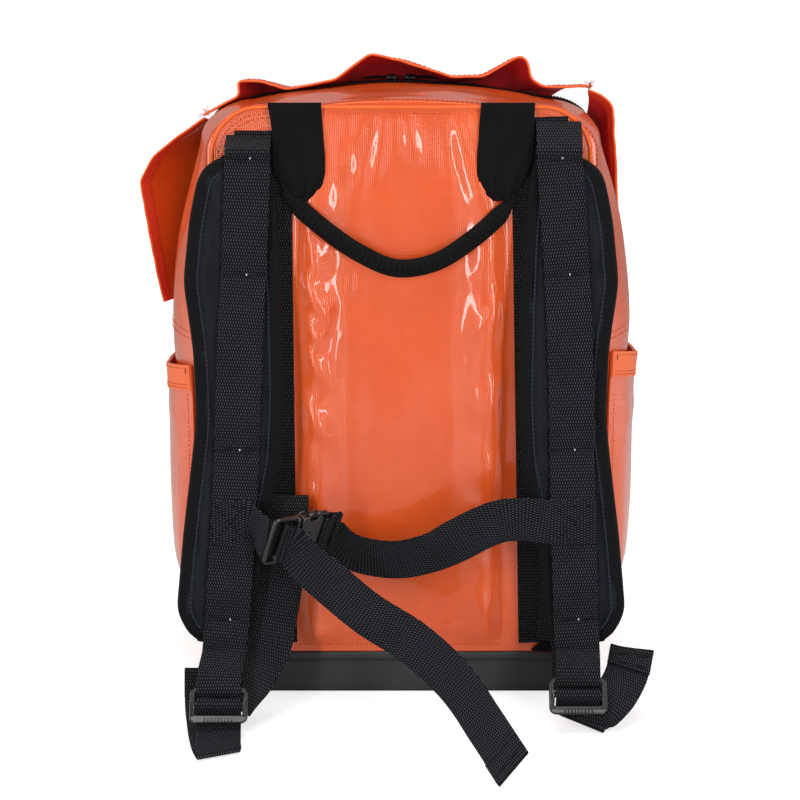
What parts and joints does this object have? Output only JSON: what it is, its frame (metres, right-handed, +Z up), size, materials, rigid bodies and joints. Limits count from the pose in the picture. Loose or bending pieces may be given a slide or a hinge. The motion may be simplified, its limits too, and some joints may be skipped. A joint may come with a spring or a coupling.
{
  "type": "trauma backpack",
  "caption": "Orange coated-tarpaulin rescue backpack with a moulded base tub, padded harness with chest strap, carry handle, zipped front lid under a storm skirt, and open pockets.",
  "frame": {"origin": "middle of the base tub's underside, where the pack stands", "axes": "+Z up, -Y out of the harness side towards the wearer, +X to the right when looking at the harness"},
  "size_m": [0.4846, 0.4783, 0.5848],
  "materials": {
    "orange_tarp": "glossy coated tarpaulin, orange",
    "tarp_inside": "matte reverse side of the tarpaulin, dark red-orange",
    "webbing": "black ribbed polypropylene webbing",
    "pad_cloth": "black coated nylon pack cloth",
    "tub_plastic": "charcoal moulded plastic, fine grain",
    "gloss_plastic": "black polished acetal",
    "zip_tape": "black woven zip tape",
    "board_plastic": "grey sheet plastic",
    "foam": "closed-cell grey foam",
    "liner": "grey lining cloth"
  },
  "bodies": {
    "root": {"body_shell": "orange_tarp", "base_tub": "tub_plastic", "back_panel": "orange_tarp", "back_strip_left": "webbing", "back_strip_right": "webbing", "frame_sheet": "board_plastic", "back_foam": "foam", "inner_sleeve": "liner", "base_board": "board_plastic", "divider_shelf": "liner", "side_pocket_left": "orange_tarp", "side_pocket_right": "orange_tarp", "front_pocket": "orange_tarp", "zip_tape_body": "zip_tape", "lower_webbing_left": "webbing", "lower_webbing_right": "webbing", "anchor_patch_left": "webbing", "anchor_patch_right": "webbing"},
    "lid": {"lid_panel": "orange_tarp", "zip_tape_lid": "zip_tape", "lid_skirt_left": "tarp_inside", "lid_skirt_right": "tarp_inside", "lid_skirt_top": "tarp_inside"},
    "zip_slider_left": {"zip_slider_left": "gloss_plastic"},
    "zip_slider_right": {"zip_slider_right": "gloss_plastic"},
    "zip_pull_left": {"zip_pull_left": "webbing"},
    "zip_pull_right": {"zip_pull_right": "webbing"},
    "handle": {"handle_tab_left": "webbing", "handle_tab_right": "webbing", "handle_grip": "webbing"},
    "shoulder_left": {"shoulder_pad_left": "pad_cloth", "pad_webbing_left": "webbing", "chest_strap_left": "webbing", "buckle_plug": "gloss_plastic"},
    "shoulder_right": {"shoulder_pad_right": "pad_cloth", "pad_webbing_right": "webbing", "chest_strap_right": "webbing", "chest_loop_right": "webbing", "buckle_socket": "gloss_plastic"},
    "lock_left": {"ladder_lock_left": "gloss_plastic", "adjuster_tail_left": "webbing"},
    "lock_right": {"ladder_lock_right": "gloss_plastic", "adjuster_tail_right": "webbing"},
    "buckle_arm_upper": {"buckle_arm_upper": "gloss_plastic"},
    "buckle_arm_lower": {"buckle_arm_lower": "gloss_plastic"}
  },
  "joints": [
    {"name": "lid_hinge", "type": "hinge", "parent": "root", "child": "lid", "pos_m": [0, 0.1215, 0.344], "axis": [-1, 0, 0], "range_deg": [0, 140]},
    {"name": "handle_swing", "type": "hinge", "parent": "root", "child": "handle", "pos_m": [0, -0.1176, 0.551], "axis": [-1, 0, 0], "range_deg": [0, 170]},
    {"name": "shoulder_left_swing", "type": "hinge", "parent": "root", "child": "shoulder_left", "pos_m": [-0.134, -0.1154, 0.534], "axis": [-1, 0, 0], "range_deg": [0, 35]},
    {"name": "shoulder_right_swing", "type": "hinge", "parent": "root", "child": "shoulder_right", "pos_m": [0.1386, -0.1154, 0.534], "axis": [-1, 0, 0], "range_deg": [0, 35]},
    {"name": "lock_left_tilt", "type": "hinge", "parent": "shoulder_left", "child": "lock_left", "pos_m": [-0.162, -0.207, 0.0385], "axis": [-1, 0, 0], "range_deg": [0, 30]},
    {"name": "lock_right_tilt", "type": "hinge", "parent": "shoulder_right", "child": "lock_right", "pos_m": [0.158, -0.2, 0.045], "axis": [-1, 0, 0], "range_deg": [0, 30]},
    {"name": "buckle_arm_upper_squeeze", "type": "hinge", "parent": "shoulder_left", "child": "buckle_arm_upper", "pos_m": [-0.09036, -0.19096, 0.18854], "axis": [-0.5756, 0.7103, 0.4053], "range_deg": [0, 7], "stiffness_Nm_per_rad": 0.3},
    {"name": "buckle_arm_lower_squeeze", "type": "hinge", "parent": "shoulder_left", "child": "buckle_arm_lower", "pos_m": [-0.09946, -0.18192, 0.15977], "axis": [0.5756, -0.7103, -0.4053], "range_deg": [0, 7], "stiffness_Nm_per_rad": 0.3},
    {"name": "zip_left_slide", "type": "slide", "parent": "root", "child": "zip_slider_left", "axis": [-1, 0, 0], "range_m": [0, 0.024]},
    {"name": "zip_right_slide", "type": "slide", "parent": "root", "child": "zip_slider_right", "axis": [1, 0, 0], "range_m": [0, 0.075]},
    {"name": "zip_pull_left_lift", "type": "hinge", "parent": "zip_slider_left", "child": "zip_pull_left", "pos_m": [-0.0152, 0.0955, 0.5594], "axis": [0, 1, 0], "range_deg": [0, 14]},
    {"name": "zip_pull_right_lift", "type": "hinge", "parent": "zip_slider_right", "child": "zip_pull_right", "pos_m": [0.0152, 0.0955, 0.5594], "axis": [0, -1, 0], "range_deg": [0, 14]}
  ],
  "couplings": [
    {"joint": "shoulder_right_swing", "follows": "shoulder_left_swing", "ratio": 1},
    {"joint": "buckle_arm_lower_squeeze", "follows": "buckle_arm_upper_squeeze", "ratio": 1}
  ]
}
